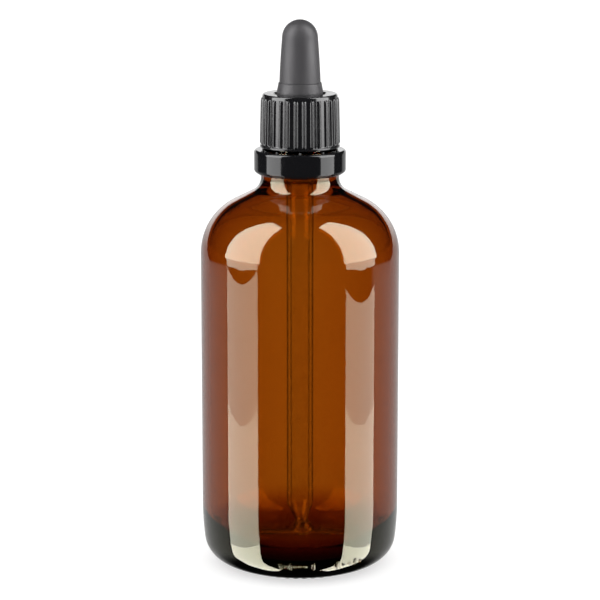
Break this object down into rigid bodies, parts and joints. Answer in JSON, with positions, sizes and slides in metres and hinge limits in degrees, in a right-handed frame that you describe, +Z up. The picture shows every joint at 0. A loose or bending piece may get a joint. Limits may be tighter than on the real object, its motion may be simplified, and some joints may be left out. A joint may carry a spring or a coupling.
{
  "type": "medicine dropper bottle",
  "caption": "Amber glass bottle with ribbed screw cap, tamper ring, rubber squeeze bulb and ball-tipped glass pipette; the cap unscrews and the dropper lifts out.",
  "frame": {"origin": "middle of the ring that the bottle stands on, at its lowest plane", "axes": "+Z up along the bottle's axis; the pipette's ball tip bends towards -Y; the bulb is pressed along X"},
  "size_m": [0.047, 0.047, 0.1306],
  "materials": {
    "amber_glass": "fire-polished moulded amber glass",
    "clear_glass": "drawn clear glass tube",
    "cap_plastic": "moulded black plastic, satin gloss",
    "ring_plastic": "moulded black plastic, polished",
    "bulb_rubber": "matt moulded rubber"
  },
  "bodies": {
    "bottle": {"glass_bottle": "amber_glass"},
    "tamper": {"tamper_ring": "ring_plastic"},
    "pipette": {"glass_pipette": "clear_glass"},
    "bulb": {"bulb_collar": "bulb_rubber"},
    "cap": {"screw_cap": "cap_plastic"},
    "bulb_left": {"bulb_wall_left": "bulb_rubber"},
    "bulb_right": {"bulb_wall_right": "bulb_rubber"}
  },
  "joints": [
    {"name": "dropper_lift", "type": "slide", "parent": "bottle", "child": "pipette", "axis": [0, 0, 1], "range_m": [0, 0.12]},
    {"name": "cap_rise", "type": "slide", "parent": "pipette", "child": "bulb", "axis": [0, 0, 1], "range_m": [0, 0.0045]},
    {"name": "cap_turn", "type": "hinge", "parent": "bulb", "child": "cap", "pos_m": [0, 0, 0.107], "axis": [0, 0, 1], "range_deg": [0, 541]},
    {"name": "ring_turn", "type": "hinge", "parent": "bottle", "child": "tamper", "pos_m": [0, 0, 0.0975], "axis": [0, 0, 1], "continuous": true},
    {"name": "squeeze_left", "type": "slide", "parent": "bulb", "child": "bulb_left", "axis": [1, 0, 0], "range_m": [0, 0.0022], "stiffness_N_per_m": 600, "deforming": ["bulb_wall_left", "bulb_wall_right"]},
    {"name": "squeeze_right", "type": "slide", "parent": "bulb", "child": "bulb_right", "axis": [-1, 0, 0], "range_m": [0, 0.0022], "stiffness_N_per_m": 600, "deforming": ["bulb_wall_left", "bulb_wall_right"]}
  ],
  "couplings": [
    {"joint": "cap_turn", "follows": "cap_rise", "rad_per_m": 2094.4},
    {"joint": "squeeze_right", "follows": "squeeze_left", "ratio": 1}
  ]
}
